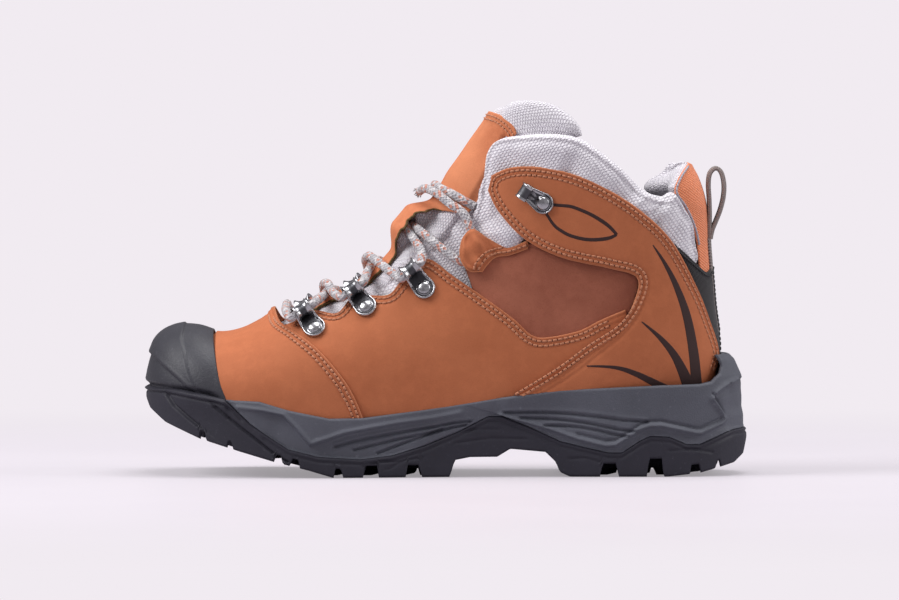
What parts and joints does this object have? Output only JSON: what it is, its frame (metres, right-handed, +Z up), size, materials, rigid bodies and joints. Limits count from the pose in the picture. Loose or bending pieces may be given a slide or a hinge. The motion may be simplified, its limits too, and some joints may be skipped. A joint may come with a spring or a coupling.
{
  "type": "hiking boot",
  "caption": "Mid-height leather hiking boot, left foot, with rubber toe cap, lugged sole, padded mesh collar, riveted lace loops, hooks and heel pull.",
  "frame": {"origin": "on the ground, at the centre of the footprint", "axes": "X from the toe to the heel, Y from the outer side of the foot to the inner side, Z up"},
  "size_m": [0.3048, 0.1078, 0.1852],
  "materials": {
    "tan_nubuck": "matt nubuck with a fine nap",
    "brown_suede": "rough brown suede",
    "toe_rubber": "matt, faceted",
    "outsole_rubber": "matt black",
    "midsole_foam": "dark slate, satin",
    "grey_mesh": "light grey sandwich mesh",
    "lining_mesh": "grey lining",
    "ribbed_fabric": "ribbed orange fabric",
    "strap_fabric": "black webbing",
    "pull_webbing": "grey webbing",
    "lace_cord": "braided cord, light grey with orange flecks",
    "gunmetal": "polished dark nickel",
    "steel_strip": "plain",
    "fibre_board": "pressed fibre board",
    "stiffener": "thermoplastic sheet",
    "footbed_foam": "fabric on foam"
  },
  "bodies": {
    "boot": {"outsole": "outsole_rubber", "midsole": "midsole_foam", "shank": "steel_strip", "insole_board": "fibre_board", "footbed": "footbed_foam", "toe_cap": "toe_rubber", "toe_puff": "stiffener", "heel_counter": "stiffener", "vamp": "tan_nubuck", "vamp_lining": "lining_mesh", "quarter_lateral": "tan_nubuck", "quarter_medial": "tan_nubuck", "eyestay_backing_lateral": "stiffener", "eyestay_backing_medial": "stiffener", "suede_inset_lateral": "brown_suede", "suede_inset_medial": "brown_suede", "lace_tab_lateral": "brown_suede", "lace_tab_medial": "brown_suede", "ankle_panel_lateral": "tan_nubuck", "ankle_panel_medial": "tan_nubuck", "collar_pad_lateral": "grey_mesh", "collar_pad_medial": "grey_mesh", "collar_pad_rear": "grey_mesh", "quarter_lining_lateral": "lining_mesh", "quarter_lining_medial": "lining_mesh", "heel_panel": "ribbed_fabric", "back_strap": "strap_fabric", "tongue_lower": "grey_mesh", "tongue_face_lower": "tan_nubuck", "gusset_lateral": "grey_mesh", "gusset_medial": "grey_mesh", "lace": "lace_cord", "loop_rivets": "gunmetal", "hook_rivets": "gunmetal", "rivet_washers": "gunmetal"},
    "tongue_top": {"tongue_upper": "grey_mesh", "tongue_face_upper": "tan_nubuck"},
    "heel_pull": {"pull_loop": "pull_webbing"},
    "lace_loop_lateral_1_body": {"lace_loop_lateral_1": "gunmetal"},
    "lace_loop_lateral_2_body": {"lace_loop_lateral_2": "gunmetal"},
    "lace_loop_lateral_3_body": {"lace_loop_lateral_3": "gunmetal"},
    "lace_loop_medial_1_body": {"lace_loop_medial_1": "gunmetal"},
    "lace_loop_medial_2_body": {"lace_loop_medial_2": "gunmetal"},
    "lace_loop_medial_3_body": {"lace_loop_medial_3": "gunmetal"},
    "lace_hook_lateral_body": {"lace_hook_lateral": "gunmetal"},
    "lace_hook_medial_body": {"lace_hook_medial": "gunmetal"}
  },
  "joints": [
    {"name": "tongue_fold", "type": "hinge", "parent": "boot", "child": "tongue_top", "pos_m": [0.0002, 0, 0.1516], "axis": [0, -1, 0], "range_deg": [0, 35]},
    {"name": "heel_pull_flap", "type": "hinge", "parent": "boot", "child": "heel_pull", "pos_m": [0.1352, 0, 0.1191], "axis": [0, 1, 0], "range_deg": [0, 60]},
    {"name": "lace_loop_lateral_1_swivel", "type": "hinge", "parent": "boot", "child": "lace_loop_lateral_1_body", "pos_m": [-0.06623, -0.03647, 0.0743], "axis": [-0.2011, -0.7375, 0.6447], "range_deg": [-5, 5]},
    {"name": "lace_loop_lateral_2_swivel", "type": "hinge", "parent": "boot", "child": "lace_loop_lateral_2_body", "pos_m": [-0.0404, -0.03509, 0.08493], "axis": [-0.225, -0.7907, 0.5694], "range_deg": [-5, 5]},
    {"name": "lace_loop_lateral_3_swivel", "type": "hinge", "parent": "boot", "child": "lace_loop_lateral_3_body", "pos_m": [-0.01114, -0.03715, 0.09452], "axis": [-0.1072, -0.933, 0.3436], "range_deg": [-5, 5]},
    {"name": "lace_loop_medial_1_swivel", "type": "hinge", "parent": "boot", "child": "lace_loop_medial_1_body", "pos_m": [-0.06588, 0.03922, 0.07434], "axis": [-0.089, 0.7477, 0.658], "range_deg": [-5, 5]},
    {"name": "lace_loop_medial_2_swivel", "type": "hinge", "parent": "boot", "child": "lace_loop_medial_2_body", "pos_m": [-0.04005, 0.0337, 0.08502], "axis": [-0.1129, 0.7919, 0.6001], "range_deg": [-5, 5]},
    {"name": "lace_loop_medial_3_swivel", "type": "hinge", "parent": "boot", "child": "lace_loop_medial_3_body", "pos_m": [-0.01123, 0.03298, 0.09448], "axis": [-0.1345, 0.9353, 0.3273], "range_deg": [-5, 5]},
    {"name": "lace_hook_lateral_swivel", "type": "hinge", "parent": "boot", "child": "lace_hook_lateral_body", "pos_m": [0.04873, -0.03808, 0.13751], "axis": [-0.1737, -0.9848, -0.0046], "range_deg": [-8, 8]},
    {"name": "lace_hook_medial_swivel", "type": "hinge", "parent": "boot", "child": "lace_hook_medial_body", "pos_m": [0.04873, 0.03808, 0.13751], "axis": [-0.1737, 0.9848, -0.0046], "range_deg": [-8, 8]}
  ]
}
